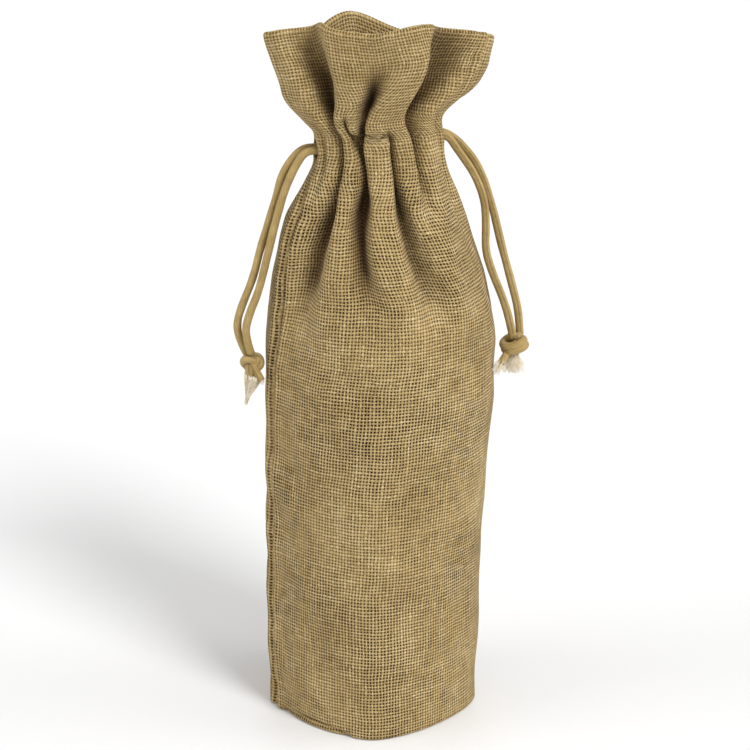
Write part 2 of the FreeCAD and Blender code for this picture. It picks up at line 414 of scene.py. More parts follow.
def cord_material():
    """Cotton cord: fine lengthwise fibres with a slow twist. The UV map runs round and along."""
    s = Surface("cotton_cord", roughness=0.62, sheen=0.08)
    round_it, along = s.cloth_coordinates()
    turn = round_it * 2 * math.pi
    skin = s.point(turn.math("COSINE") * 3.4, turn.math("SINE") * 3.4, along * 0.10)
    fibre = s.noise(skin, 3.0, 3.0, 0.6)
    twist = ((round_it * 9.0 + along * 0.33) * 2 * math.pi).math("SINE") * 0.5 + 0.5
    blotch = s.noise(s.place(), 95.0, 3.0, 0.6)
    shade = fibre * 0.55 + twist * 0.10 + blotch * 0.55 - 0.12
    s.colour(s.ramp(shade, ((0.15, CORD_DARK), (0.5, CORD_MID), (0.9, CORD_PALE))))
    s.bump(fibre + twist * 0.5, 0.00022)
    return s.material


def speckled_material(name, detail, stops, roughness, sheen=0.0):
    """Fibre whose tone varies from speck to speck. It needs no UV map."""
    s = Surface(name, roughness, sheen)
    s.colour(s.ramp(s.noise(s.place(), 900.0, detail), stops))
    return s.material


def thread_material():
    """Twisted jute-coloured sewing thread."""
    s = Surface("sewing_thread", roughness=0.7)
    round_it, along = s.cloth_coordinates()
    twist = ((round_it + along * 1.4) * 2 * math.pi).math("SINE") * 0.5 + 0.5
    tone = s.noise(s.place(), 400.0, 2.0)
    s.colour(s.ramp(twist * 0.5 + tone * 0.5, ((0.2, THREAD_DARK), (0.8, THREAD_PALE))))
    s.bump(twist, 0.00008)
    return s.material


def dress(obj, material):
    """Gives the object that one material, in its only slot."""
    obj.data.materials.clear()
    obj.data.materials.append(material)


# ---- drawstrings

CORD_D = 3.5
CORD_R = CORD_D / 2
CORD_UNEVEN = 0.05  # how far the cord's radius varies, as a share of it
FIBRE_R = 0.11  # a loose fibre's radius at its root
STRAND_Y = 3.0  # an opening's two strands lie this far before and behind its middle
LEAD_INNER_X = 17.6  # where a lead starts, inside the casing
LEAD_MIDDLE_X = 24.0
PIVOT_X = 31.05  # where a strand's route starts, just outside the casing
LEFT_Z = 262.8  # height of the cord in the left opening
RIGHT_Z = 267.4
BLEND_START = (-2.2, 0.6)  # a point near the route's start, from it: outward, up
BLEND_END = (3.4, -4.2)  # and a second such point

# The strands' routes from the pivot just outside the casing to the knot, in millimetres
ROUTES = {
    "left_cord_front": (
        (-PIVOT_X, -STRAND_Y, LEFT_Z), (-35.5, -3.0, 256.5), (-39.7, -2.8, 247.5),
        (-42.8, -2.5, 237.5), (-46.0, -2.2, 225.5), (-49.2, -1.8, 212.0), (-52.0, -1.4, 201.0),
        (-56.4, -1.0, 190.5), (-58.6, -0.8, 181.5), (-55.6, -0.2, 172.5)),
    "left_cord_back": (
        (-PIVOT_X, STRAND_Y, LEFT_Z), (-36.3, 3.0, 258.0), (-40.8, 3.0, 250.5),
        (-43.0, 3.0, 241.0), (-46.7, 3.1, 230.0), (-50.4, 3.3, 218.5), (-53.4, 3.5, 206.0),
        (-59.0, 3.7, 193.0), (-61.4, 3.9, 184.5), (-59.4, 4.0, 176.0), (-56.2, 3.6, 169.8)),
    "right_cord_front": (
        (PIVOT_X, -STRAND_Y, RIGHT_Z), (36.0, -3.6, 260.0), (43.0, -5.0, 250.0),
        (47.3, -6.5, 238.8), (48.0, -8.0, 227.5), (47.2, -9.6, 216.5), (50.3, -11.0, 206.0),
        (54.6, -12.4, 195.5), (58.0, -13.4, 184.5), (59.4, -14.2, 176.2)),
    "right_cord_back": (
        (PIVOT_X, STRAND_Y, RIGHT_Z), (38.8, 2.3, 262.0), (47.0, 0.8, 251.0),
        (52.2, -1.6, 234.5), (56.0, -4.3, 216.5), (60.2, -7.0, 200.0), (63.4, -9.4, 186.0),
        (63.4, -10.8, 176.8)),
}
LEFT_KNOT = np.array((-54.9, 1.8, 166.6))
RIGHT_KNOT = np.array((60.3, -12.7, 173.2))


def route_line(points):
    """Points along the smooth NURBS line that has the given points as its controls, in metres."""
    curve = bpy.data.curves.new("route", "CURVE")
    curve.dimensions = "3D"
    curve.resolution_u = 10
    spline = curve.splines.new("NURBS")
    spline.points.add(len(points) - 1)
    for control, point in zip(spline.points, points):
        control.co = (point[0] * MM, point[1] * MM, point[2] * MM, 1)
    spline.order_u = 3
    spline.use_endpoint_u = True
    obj = add_object("route", curve)
    bpy.context.view_layer.update()
    line = bpy.data.meshes.new_from_object(obj.evaluated_get(bpy.context.evaluated_depsgraph_get()))
    found = np.array([v.co for v in line.vertices])
    bpy.data.objects.remove(obj)
    bpy.data.meshes.remove(line)
    bpy.data.curves.remove(curve)
    return found


def cord_radius(count):
    """The cord's radius at each point of a line: it is a little uneven."""
    steps = smoothed(draw.normal(0, 1, count), 11, "constant")
    return CORD_R * MM * (1 + CORD_UNEVEN * np.clip(steps, -1, 1))


def strand(side, place, material):
    """One free strand: from inside the casing, out of its side opening, down to the knot."""
    name = side + "_cord_" + place
    route = ROUTES[name]
    sign = -1 if side == "left" else 1
    y, z = route[0][1:]
    points = ((sign * LEAD_INNER_X, y, z), (sign * LEAD_MIDDLE_X, y, z)) + route
    line = route_line(points)
    obj = add_object(name, tube_mesh(name, [(line, cord_radius(len(line)))], sides=18))
    dress(obj, material)
    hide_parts(side + "_lead_" + place, side + "_strand_" + place)
    start, end = [(sign * (PIVOT_X + outward) * MM, y * MM, (z + up) * MM)
                  for outward, up in (BLEND_START, BLEND_END)]
    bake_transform(obj)
    y * MM
    z * MM


def left_knot_paths():
    """A pulled-tight overhand knot: a three-lobed loop, taller than it is wide."""
    turn = np.linspace(0, 2 * math.pi, 120, endpoint=False)
    lobes = np.stack([np.sin(turn) + 2 * np.sin(2 * turn),
                      -np.sin(3 * turn),
                      np.cos(turn) - 2 * np.cos(2 * turn)], axis=1)
    size = np.array((1.30, 1.75, 1.55))
    return [((LEFT_KNOT + lobes * size) * MM, CORD_R * MM * 1.04)]


def right_knot_paths():
    """Two wraps of cord round the strands, one above the other."""
    turn = np.linspace(-0.15, 2.25, 110) * 2 * math.pi
    share = np.linspace(0, 1, turn.size)
    reach = 4.5 * np.clip(np.minimum(share, 1 - share) * 9, 0.35, 1) ** 0.7
    wraps = np.stack([reach * np.cos(turn), reach * np.sin(turn), 2.6 - 5.2 * share], axis=1)
    tilt = np.array(Matrix.Rotation(math.radians(-20), 3, "Y"))
    return [((RIGHT_KNOT + wraps @ tilt.T) * MM, CORD_R * MM * 1.08)]


def stub_path(start, tip, share):
    """The part of a cut end that is still whole cord."""
    start, tip = np.array(start), np.array(tip)
    steps = np.linspace(-0.35, share, 9)[:, None]
    return (start + (tip - start) * steps) * MM


def fibres(start, tip, root_share, count, root_r, tip_r, curl):
    """A brush of loose fibres that leave a cut end and spread towards its tip."""
    start, tip = np.array(start), np.array(tip)
    along = tip - start
    length = np.linalg.norm(along)
    axis = along / length
    side = np.cross(axis, (0.3, 1.0, 0.2))
    side /= np.linalg.norm(side)
    other = np.cross(axis, side)
    paths = []
    for _ in range(count):
        turn, out = draw.uniform(0, 2 * math.pi), math.sqrt(draw.uniform())
        reach = length * draw.uniform(0.72, 1.06)
        t = np.linspace(root_share, 1, 8)
        radius = (root_r + (tip_r - root_r) * smoothstep(t, root_share, 1)) * out
        wander = curl * (t - root_share)[:, None] ** 1.5 * (
            np.sin(t[:, None] * draw.uniform(4, 9) + draw.uniform(0, 6, 2)[None, :]))
        points = (start + axis * (t * reach)[:, None]
                  + side * (radius * math.cos(turn) + wander[:, 0])[:, None]
                  + other * (radius * math.sin(turn) + wander[:, 1])[:, None])
        paths.append((points * MM, np.linspace(FIBRE_R, FIBRE_R * 0.45, 8) * MM))
    return paths


# Cut ends: start at the knot, tip, share that is whole cord, fibres, their spread at root and tip, curl
CUT_ENDS = {
    "left_cord_end_long": ((-53.9, 0.8, 165.0), (-58.2, 0.4, 149.6), 0.32, 260, 4.1, 0.5, 0.6),
    "left_cord_end_short": ((-54.4, 0.0, 166.0), (-51.0, -3.4, 159.0), 0.80, 70, 1.5, 1.2, 0.8),
    "right_cord_end_long": ((58.4, -14.2, 171.4), (50.2, -17.8, 162.0), 0.62, 130, 1.5, 2.5, 1.5),
    "right_cord_end_short": ((60.4, -13.4, 171.4), (59.8, -15.4, 160.6), 0.30, 270, 1.9, 4.7, 2.2),
}


def cut_end(node, cord, frayed):
    """A cut end as two pieces, both attached to the tails' body: the last of the whole cord, and the frayed
    brush.
    """
    start, tip, whole, count, root_r, tip_r, curl = CUT_ENDS[node]
    body = node.split("_")[0] + "_tails"
    stub = add_object(node + "_cord", tube_mesh(node, [(stub_path(start, tip, whole), CORD_R * MM)]))
    dress(stub, cord)
    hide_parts(node)
    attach(stub, body)
    loose = fibres(start, tip, whole * 0.7, count, root_r, tip_r, curl)
    brush = add_object(node + "_fray", tube_mesh(node, loose, sides=4))
    dress(brush, frayed)
    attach(brush, body)
    return [stub, brush]


RUN_WIDE = 17.2  # the hidden run's half width, mm
RUN_DEEP = 12.4  # and its half depth
RUN_GAP = 22  # it stops this far short of its side, in degrees each way


def cord_run(side, material):
    """The stretch of one drawstring that is hidden in the casing, round the gathers."""
    sign = -1 if side == "left" else 1
    z = LEFT_Z if side == "left" else RIGHT_Z
    open_turn = math.radians(RUN_GAP)
    turn = np.linspace(open_turn, 2 * math.pi - open_turn, 120)
    ring = np.stack([sign * RUN_WIDE * np.cos(turn), RUN_DEEP * np.sin(turn),
                     np.full(turn.size, z)], axis=1)
    obj = add_object(side + "_cord_in_casing", tube_mesh("run", [(ring * MM, cord_radius(len(ring)))]))
    dress(obj, material)
    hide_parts(side + "_cord_run")
    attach(obj, "bag")


def make_drawstrings():
    """Both drawstrings: knot, cut ends, two strands and the hidden run."""
    cord = cord_material()
    frayed = speckled_material("frayed_cotton", 2.0, ((0.3, FRAY_DARK), (0.6, FRAY_PALE)), 0.8, 0.2)
    for side, knot_paths in (("left", left_knot_paths), ("right", right_knot_paths)):
        closed = side == "left"  # the left knot is a loop
        knot = add_object(side + "_tied_knot", tube_mesh("knot", knot_paths(), sides=18, closed=closed))
        dress(knot, cord)
        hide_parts(side + "_knot")
        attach(knot, side + "_tails")
        ends = []
        for length in ("long", "short"):
            ends += cut_end(side + "_cord_end_" + length, cord, frayed)
        strand(side, "front", cord)
        strand(side, "back", cord)
        cord_run(side, cord)


# ---- the cloth

CLOTH = 1.2  # thickness, mm
YARN = 1.53  # spacing of the yarns, mm
PANEL_WIDTH = 147.0  # one panel between its side seams, mm
COLUMNS = 136  # points across a panel
RING = 1440  # points round the bag while its rows are worked out
TURNS = np.linspace(0, 2 * math.pi, RING, endpoint=False)
RIM_Z = 316.0
FACING_LOW = 254.0
CASING_LOWER_Z = 258.6  # the casing's two rows of stitches
CASING_UPPER_Z = 271.6
VIEW_TURN = 258.0  # the turn, from +X, of the direction that the folds' angles start at

# The cloth's outer form, as level sections drawn through the crests of its folds:
# height, half width, shift to the camera's right, half depth, exponent of the rounded diamond,
# turn of its axes
SECTIONS = (
    (0.0, 47.2, -1.1, 44.4, 1.50, -12),
    (30.0, 48.1, -0.9, 45.0, 1.52, -12),
    (69.0, 48.3, -0.7, 45.2, 1.55, -12),
    (99.0, 49.0, 0.0, 45.6, 1.58, -12),
    (128.0, 49.7, 1.0, 46.0, 1.61, -12),
    (150.0, 50.6, 1.9, 46.4, 1.65, -12),
    (175.0, 50.2, 2.5, 46.0, 1.70, -12),
    (190.0, 49.0, 2.1, 44.8, 1.78, -12),
    (206.0, 45.9, 1.1, 42.2, 1.88, -12),
    (222.0, 41.3, -0.1, 38.4, 1.95, -12),
    (233.0, 37.9, 0.0, 34.6, 2.00, -10),
    (244.0, 32.8, 1.2, 30.4, 2.00, -8),
    (255.0, 28.2, 2.0, 26.2, 2.00, -4),
    (264.0, 26.6, 1.9, 23.6, 2.00, 0),
    (271.0, 27.4, 1.1, 23.2, 1.95, 0),
    (276.0, 30.2, -1.4, 23.4, 1.85, 0),
    (281.0, 34.6, -1.0, 24.0, 1.72, 0),
    (286.5, 40.2, 1.2, 25.4, 1.60, 0),
    (292.0, 43.0, 2.6, 26.8, 1.52, 0),
    (302.0, 47.0, 3.1, 29.6, 1.45, 0),
    (RIM_Z, 49.9, 2.4, 32.0, 1.40, 0),
)

# Valleys between the folds. Each is followed up the bag: height, angle round the bag from the
# folds' start, half width in degrees, and depth as a share of the row's deepest
FRONT_VALLEYS = (
    ((150, -57, 24, 0), (180, -55, 22, 0.08), (200, -51, 20, 0.35), (215, -46, 18, 0.85),
     (235, -42, 15, 1.4), (250, -41, 12, 1.3), (262, -39.5, 9, 1.1), (271, -40, 9, 1),
     (283, -46, 14, 1.2), (300, -54, 17, 1.1), (316, -57, 18, 0.6)),
    ((256, -20, 3, 0), (262, -22, 4, 0.5), (268, -25, 5, 0.7), (275, -27, 5, 0.5), (281, -28, 5, 0)),
    ((150, -2, 26, 0), (180, -3, 24, 0.06), (198, -5, 19, 0.18), (212, -8, 15, 0.55),
     (224, -11, 13, 1.25), (234, -12, 12.5, 2.1), (246, -13, 12.5, 2.6), (257, -16, 10.5, 2.3),
     (265, -19, 7.5, 1.7), (270, -18, 7, 1.6), (275, -13, 9, 2.1), (280, -10, 10.5, 2.5),
     (286, -9, 14, 1.5), (294, -7, 20, 0.6), (304, -5, 27, 0.22), (316, -3, 32, 0.12)),
    ((160, 42, 22, 0), (190, 38, 19, 0.1), (210, 32, 16, 0.45), (226, 27, 13, 0.9), (240, 21, 11, 1.3),
     (254, 16, 10, 1.7), (263, 15, 9, 1.9), (268, 15, 7, 1.3), (273, 16, 6, 0)),
    ((232, 46, 13, 0), (252, 44, 12, 0.7), (262, 44, 12, 1.2), (274, 46, 15, 2.2), (281, 47, 17, 2.8),
     (288, 52, 21, 2.9), (296, 59, 23, 2.7), (306, 63, 25, 1.6), (316, 64, 25, 0.7)),
    ((216, 82, 15, 0), (245, 80, 12, 0.5), (262, 77, 9, 0.6), (272, 77, 9, 0.4), (281, 78, 10, 0)),
    ((244, -60, 8, 0), (257, -60, 8, 0.35), (268, -60, 8, 0.25), (280, -60, 8, 0)),
)
BACK_VALLEYS = (
    ((222, 122, 12, 0), (245, 122, 9, 0.7), (262, 122, 8, 0.85), (272, 123, 9, 0.8), (284, 126, 13, 1),
     (300, 128, 16, 0.5), (316, 129, 18, 0.35)),
    ((205, 142, 16, 0), (225, 141, 12, 0.7), (245, 139, 9, 1), (262, 138, 8, 1), (272, 138, 8, 0.6),
     (281, 138, 8, 0)),
    ((238, 156, 8, 0), (250, 155, 8, 0.6), (262, 154, 7, 0.8), (272, 154, 7, 0.5), (281, 155, 8, 0)),
    ((215, 172, 15, 0), (235, 172, 11, 0.75), (262, 171, 8, 1), (272, 170, 9, 0.9), (284, 167, 14, 1.1),
     (300, 162, 20, 0.4), (316, 159, 25, 0.22)),
    ((236, 187, 8, 0), (250, 188, 8, 0.6), (262, 188, 8, 0.8), (272, 188, 8, 0.5), (281, 188, 8, 0)),
    ((200, 203, 17, 0), (222, 204, 13, 0.7), (245, 205, 9, 1), (262, 205, 8, 1), (272, 203, 9, 0.8),
     (284, 197, 13, 0.9), (300, 190, 18, 0.35), (316, 186, 22, 0.22)),
    ((240, 222, 8, 0), (250, 222, 8, 0.6), (262, 222, 8, 0.85), (272, 222, 8, 0.5), (281, 222, 8, 0)),
    ((208, 239, 15, 0), (230, 239, 11, 0.75), (262, 239, 8.5, 1), (272, 241, 10, 0.9),
     (284, 246, 14, 1), (300, 248, 17, 0.5), (316, 248, 19, 0.35)),
    ((225, 262, 11, 0), (245, 261, 9, 0.6), (262, 260, 8, 0.75), (272, 260, 8, 0.45),
     (281, 260, 8, 0)),
)

# Swellings of single folds: angle, half width in degrees, height, half height, millimetres
SWELLINGS = ((-1, 11, 271, 10, 1.4), (-31, 6, 264, 14, 1.2), (-62, 15, 265, 9, 1.6),
             (62, 14, 262, 9, 1.0), (50, 9, 220, 26, 2.0))

# The rim, once round: angle from the folds' start, height
RIM_START = -78
RIM = ((RIM_START, 312.5), (-50, 319.0), (-25, 316.2), (0, 315.0), (25, 318.2), (44, 318.6),
       (75, 314.5), (102, 307.5), (130, 306.0), (160, 309.5), (185, 314.0), (200, 316.0),
       (213, 316.9), (226, 315.8), (245, 311.5), (262, 309.8), (RIM_START + 360, 312.5))

# How far each side seam has swung: height, degrees
LEFT_SEAM_SWING = ((60, 0), (120, 2), (165, 5), (190, 9), (215, 13), (236, 13), (252, 0))
RIGHT_SEAM_SWING = ((270, 0), (279, -15), (300, -17), (316, -12))

# The folds, in millimetres
CREST_SOFTNESS = 3.2  # how far the outer form's corners are blurred, in degrees
RIPPLE_SIZE = 0.14
STITCH_PINCH = 0.15  # how far the casing's stitches draw the cloth in
STITCH_REACH = 1.8  # and how far above and below them
CASING_FROM = (238, 256)  # heights over which the cords' hold on the cloth begins
CASING_TO = (276, 286)  # and ends
VALLEY_LIMIT = 14  # the deepest valley
HEADER_DEEPER = 6  # how much deeper the header's may be
CORD_CLEARANCE = 8.4  # the deepest valley over the cords
MOUTH_CLOSED = 0.06  # how far a valley's walls lean over it
MOUTH_CLOSED_MORE = 0.26  # and how much more at the casing
SPARE_BODY = 0.35  # share of the cloth's spare width that folds take up on the body
SPARE_NECK = 0.60  # how much more the neck's take up
SPARE_RIM = 0.10  # and how much less the rim's
SCALE_LIMIT = 16.0  # the depths are searched from 0 to this
HALVINGS = 16
FOLD_SHADE = (2.4, 10.5)  # depths where the painted shade in the folds starts and where it is darkest
HEADER_PAINTED_SHADE_LOSS = 0.55  # share of that painted shade lost at the rim
BACK_FLATTENED = 0.28  # share of the header's back half's depth lost at the rim

# Heights of the rows of cloth: a list near the base, then steps, finer where the folds are
BASE_HEIGHTS = (1.6, 2.3, 3.0, 3.7, 4.5, 5.5, 7.0, 9.0, 11.0)
BODY_LOW = 13.5
BODY_STEP = 2.5
FOLDS_LOW = 196.0
FOLD_STEP = 1.25

# The side seams across the cloth: size of each wave outward, distance from the seam, half width
SEAM_GROOVE = ((-3.0, 0, 1.5), (1.1, 4.2, 2.1))
SEAM_EDGE = ((0.8, 0, 1.7), (-0.9, 3.8, 1.3))
EXIT_LOWER = 0.6  # how far below the cords their opening's middle is
EXIT_OPEN = 5.9  # how far the cloth stands off where the cords come out
EXIT_HIGH = 4.2  # that opening's half height
EXIT_WIDE = 6.5  # and its half width
CREASE_DEEP = 1.3  # the base seam's crease at the lower left
CREASE_HIGH = 3.6
FACING_GAP = 1.65  # from the wall's middle to the facing's, mm
TUBE_WIDE = 14.2  # the facing's half width where it is gathered inside the cords
TUBE_DEEP = 10.2
BASE_Z = 0.75
# How the wall's lower edge and the base's edge turn up inside the base seam: inset, height
HEM = ((1.75, 9.0), (1.75, 6.0), (1.75, 3.2), (1.5, 1.5), (0.8, 0.8), (0.2, 1.0))
BASE_EDGE = ((3.7, 9.0), (3.6, 5.0), (3.4, 2.6), (2.8, 1.3), (2.1, BASE_Z))
BASE_STITCHES = ((1.2, 5.0),)
BASE_DISHED = 0.25  # how much higher the base's middle is
STITCH_COLUMNS = 3  # a stitch's length, in columns of the cloth
STITCH_PITCH = 5  # from one stitch's start to the next one's
STITCH_LIFT = 0.35  # how far a stitch stands off the cloth at its ends
STITCH_ARCH = 0.55  # and how much more in its middle
THREAD_R = 0.33


def track(points, heights):
    """A valley's angle, half width and depth share at each height."""
    at, *columns = np.array(points, float).T
    return [smoothed(np.interp(heights, at, column), 7)[:, None] for column in columns]


def crest_radius(heights, turns):
    """The outer form's radius at each height (rows) and turn (columns, radians), and its shift."""
    at, *columns = np.array(SECTIONS).T
    fine = np.arange(-20, RIM_Z + 24, 0.5)
    wide, shift, deep, power, turned = [
        np.interp(heights, fine, smoothed(np.interp(fine, at, column), 17))[:, None]
        for column in columns]
    angle = turns[None, :] - np.radians(turned)
    radius = (np.abs(np.cos(angle) / wide) ** power + np.abs(np.sin(angle) / deep) ** power) ** (-1 / power)
    return radius, shift


def softened(radius, spread):
    """The radius round a whole row, blurred by the given spread in radians."""
    waves = np.fft.rfftfreq(RING, 1 / RING)[None, :]
    return np.fft.irfft(np.fft.rfft(radius, axis=1) * np.exp(-0.5 * (waves * spread) ** 2), n=RING, axis=1)


RIPPLES = [(draw.uniform(0.4, 1.0), draw.integers(1, 8), draw.uniform(0.010, 0.035), draw.uniform(0, 6.28))
           for _ in range(14)]


def ripple(turns, heights):
    """Soft unevenness of the cloth, about one millimetre from crest to dip."""
    total = 0
    for size, waves, rate, phase in RIPPLES:
        bent = 0.7 * np.sin(3 * turns + heights * 0.03 + phase)
        total = total + size * np.sin(waves * turns + rate * 2 * math.pi * heights + phase + bent)
    return total * RIPPLE_SIZE


def ring_rows(heights):
    """Both panels' rows of cloth at the given heights, front first, and the painted shade of their folds,
    from 0 to 1.

    A row's points lie at equal steps along it. The rows are worked out from the left side, round
    the whole bag and a little past it, so that the left seam can lie off the bag's side.
    """
    radius, shift = crest_radius(heights, TURNS)
    radius = softened(radius, math.radians(CREST_SOFTNESS))
    radius = radius + ripple(TURNS[None, :], heights[:, None])
    pinch = sum(bell(heights, z, STITCH_REACH) for z in (CASING_LOWER_Z, CASING_UPPER_Z))
    radius = radius - STITCH_PINCH * pinch[:, None]
    degrees_round = (np.degrees(TURNS)[None, :] - VIEW_TURN + 180) % 360 - 180
    for angle, half, height, half_height, size in SWELLINGS:
        swelling = bell(degrees_round, angle, half) * bell(heights[:, None], height, half_height)
        radius = radius + size * swelling
    start = RING // 2
    index = np.arange(start, start + RING + RING // 12)
    turns = index * 2 * math.pi / RING
    radius = radius[:, index % RING]
    x = radius * np.cos(turns) + shift * math.cos(CAMERA_TURN)
    y = radius * np.sin(turns) - shift * math.sin(CAMERA_TURN)
    dx, dy = np.gradient(x, axis=1), np.gradient(y, axis=1)
    length = np.hypot(dx, dy)
    along = np.stack([dx / length, dy / length])
    inward = np.stack([-along[1], along[0]])
    degrees = np.degrees(turns)[None, :] - VIEW_TURN

    depth, close = 0, 0
    casing = (smoothstep(heights, *CASING_FROM) * (1 - smoothstep(heights, *CASING_TO)))[:, None]
    for valley in FRONT_VALLEYS + BACK_VALLEYS:
        angle, half, share = track(valley, heights)
        t = np.clip(((degrees - angle + 180) % 360 - 180) / half, -1, 1)
        depth = depth + share * np.cos(t * math.pi / 2) ** 2
        # the walls lean in most two thirds of the way out, where this is 1
        mouth = 6.75 * np.abs(t) ** 2 * (1 - np.abs(t)) * np.sign(t)
        close = close - mouth * np.minimum(share, 1) * np.radians(half) * radius
    close = close * (MOUTH_CLOSED + MOUTH_CLOSED_MORE * casing)
    limit = VALLEY_LIMIT + HEADER_DEEPER * smoothstep(heights, 280, 292)[:, None]
    limit = limit - (VALLEY_LIMIT - CORD_CLEARANCE) * casing

    def curve(scale):
        """The rows with valleys that many millimetres deep: x, y, length so far, depth."""
        down = limit * np.tanh(depth * scale[:, None] / limit)
        over = close * np.minimum(scale / 4, 1)[:, None]
        cx = x + inward[0] * down + along[0] * over
        cy = y + inward[1] * down + along[1] * over
        steps = np.hypot(np.diff(cx, axis=1), np.diff(cy, axis=1))
        run = np.concatenate([np.zeros((len(heights), 1)), np.cumsum(steps, axis=1)], axis=1)
        return cx, cy, run, down

    # the depth at which each row takes up its share of the cloth's width
    plain = curve(np.zeros(len(heights)))[2][:, RING]
    filled = SPARE_BODY + SPARE_NECK * smoothstep(heights, 195, 240) - SPARE_RIM * smoothstep(
        heights, 285, 305)
    wanted = plain + (2 * PANEL_WIDTH - plain) * filled
    low, high = np.zeros(len(heights)), np.full(len(heights), SCALE_LIMIT)
    for _ in range(HALVINGS):
        middle = (low + high) / 2
        short = curve(middle)[2][:, RING] < wanted
        low, high = np.where(short, middle, low), np.where(short, high, middle)
    cx, cy, run, down = curve(smoothed(low, 9))
    left_seam, right_seam = [np.interp(heights, *np.array(swing, float).T) * RING / 360
                             for swing in (LEFT_SEAM_SWING, RIGHT_SEAM_SWING)]
    shares = np.linspace(0, 1, COLUMNS)
    panels = np.zeros((2, len(heights), COLUMNS, 3))
    folds = np.zeros((2, len(heights), COLUMNS))
    for i in range(len(heights)):
        seams = np.interp((left_seam[i], RING / 2 + right_seam[i], RING + left_seam[i]),
                          np.arange(len(index)), run[i])
        for side in (0, 1):
            at = seams[side] + shares * (seams[side + 1] - seams[side])
            panels[side, i, :, 0] = np.interp(at, run[i], cx[i])
            panels[side, i, :, 1] = np.interp(at, run[i], cy[i])
            folds[side, i] = np.interp(at, run[i], down[i])
    panels[:, :, :, 2] = heights[:, None]
    # the back of the header stands nearer the front than a full oval would
    flatter = 1 - BACK_FLATTENED * smoothstep(heights, 280, RIM_Z)[:, None]
    panels[:, :, :, 1] *= np.where(panels[:, :, :, 1] > 0, flatter, 1)
    # painted shade: the deeper the folds, the darker the cloth's colour, and less so towards the rim
    painted_shade_kept = 1 - HEADER_PAINTED_SHADE_LOSS * smoothstep(heights, 284, 306)[:, None]
    return panels, smoothstep(folds, *FOLD_SHADE) * painted_shade_kept


def across_normals(along):
    """Level unit vectors to the right of the given directions."""
    along = along / (np.linalg.norm(along, axis=2)[:, :, None] + 1e-9)
    return np.stack([along[:, :, 1], -along[:, :, 0], np.zeros(along.shape[:2])], axis=2)


def row_normals(rows):
    """Level unit vectors pointing out of the bag at each point of the rows."""
    return across_normals(np.gradient(rows[:, :, :2], axis=1))


def ring_normals(panels):
    """The same for both panels together, so that they agree at the seams."""
    ring = np.concatenate([panels[0][:, :-1, :2], panels[1][:, :-1, :2]], axis=1)
    out = across_normals(np.roll(ring, -1, axis=1) - np.roll(ring, 1, axis=1))
    around = np.concatenate([out, out[:, :1]], axis=1)
    return around[:, :COLUMNS], around[:, COLUMNS - 1:]


def blurred(array, count):
    """Neighbouring points in a row averaged, that many times, with the ends kept."""
    for _ in range(count):
        array = array.copy()
        array[:, 1:-1] = (array[:, :-2] + 2 * array[:, 1:-1] + array[:, 2:]) / 4
    return array


def rim_height(turns):
    """The rim's height round the bag: it dips at the side seams."""
    angle, height = np.array(RIM, float).T
    fine = np.arange(RIM_START, RIM_START + 360, 1.0)
    around = smoothed(np.interp(fine, angle, height), 21, "wrap")
    at = (np.degrees(turns) - VIEW_TURN - RIM_START) % 360 + RIM_START
    return np.interp(at, fine, around, period=360)


def seam_section(distance, shape):
    """A section across a seam: the sum of waves of (size, distance from the seam, half width)."""
    return sum(size * bell(distance, middle, half) for size, middle, half in shape)


def sewn_wall(rows, out, sign, left_side):
    """The wall with its seams, openings and rim, and each point's turn round the bag."""
    level = rows[:, :1, 2]
    distance = np.minimum(np.arange(COLUMNS), np.arange(COLUMNS)[::-1]) * PANEL_WIDTH / (COLUMNS - 1)

    # the side seams, a groove between low ridges up to the casing
    seamed = 1 - smoothstep(level, 240, 252)
    wall = rows + out * (seamed * seam_section(distance, SEAM_GROOVE))[:, :, None]
    # and a proud rolled edge above it
    wall += out * (smoothstep(level, 276, 284) * seam_section(distance, SEAM_EDGE))[:, :, None]
    turn = np.arctan2(wall[:, :, 1], wall[:, :, 0])
    # the cords' way out, where the seam is left open
    exit_z = np.where(left_side, LEFT_Z, RIGHT_Z)[None, :] - EXIT_LOWER
    opening = bell(level, exit_z, EXIT_HIGH) * bell(distance, 0, EXIT_WIDE)[None, :]
    wall[:, :, 1] += sign * EXIT_OPEN * opening
    # the crease where the base seam rolls up at the lower left
    degrees = np.degrees(np.arctan2(wall[:, :, 1], wall[:, :, 0])) % 360 - VIEW_TURN
    share = np.clip((degrees + 74) / 62, 0, 1)
    crease_z = np.sin(share * math.pi) ** 0.6 * CREASE_HIGH
    crease = CREASE_DEEP * bell(level, crease_z, 0.9) * smoothstep(crease_z, 0.2, 1.5)
    wall -= out * crease[:, :, None]

    # the header's rim dips towards its pointed sides
    turns = np.arctan2(wall[:, :, 1], wall[:, :, 0])
    wall[:, :, 2] += (rim_height(turns) - RIM_Z) * smoothstep(level, 278, RIM_Z)
    return wall, turn


def facing_rows(wall, heights, turn):
    """The facing inside the header, from the rim down to where it is gathered in the casing."""
    wall, level, turn = [a[heights >= FACING_LOW][::-1] for a in (wall, heights[:, None], turn)]
    inner = blurred(wall - blurred(row_normals(wall), 2) * FACING_GAP, 2)
    tube = np.stack([TUBE_WIDE * np.cos(turn), TUBE_DEEP * np.sin(turn), wall[:, :, 2]], axis=2)
    gathered = (1 - smoothstep(level, 270, 284))[:, :, None]
    return inner * (1 - gathered) + tube * gathered


def rim_roll(top, top_inner):
    """The rows of cloth that roll over the rim, from the wall to the facing."""
    middle = (top + top_inner) / 2
    lift = np.array((0, 0, FACING_GAP / 2))
    return [middle + (top - middle) * math.cos(a) + lift * math.sin(a)
            for a in np.radians((36, 72, 108, 144))]


def turned_up(edge, outward, steps):
    """Rows that follow an edge inside it: each step is an inset and a height."""
    rows = []
    for inset, z in steps:
        row = edge - outward * inset
        row[:, 2] = z
        rows.append(row)
    return rows


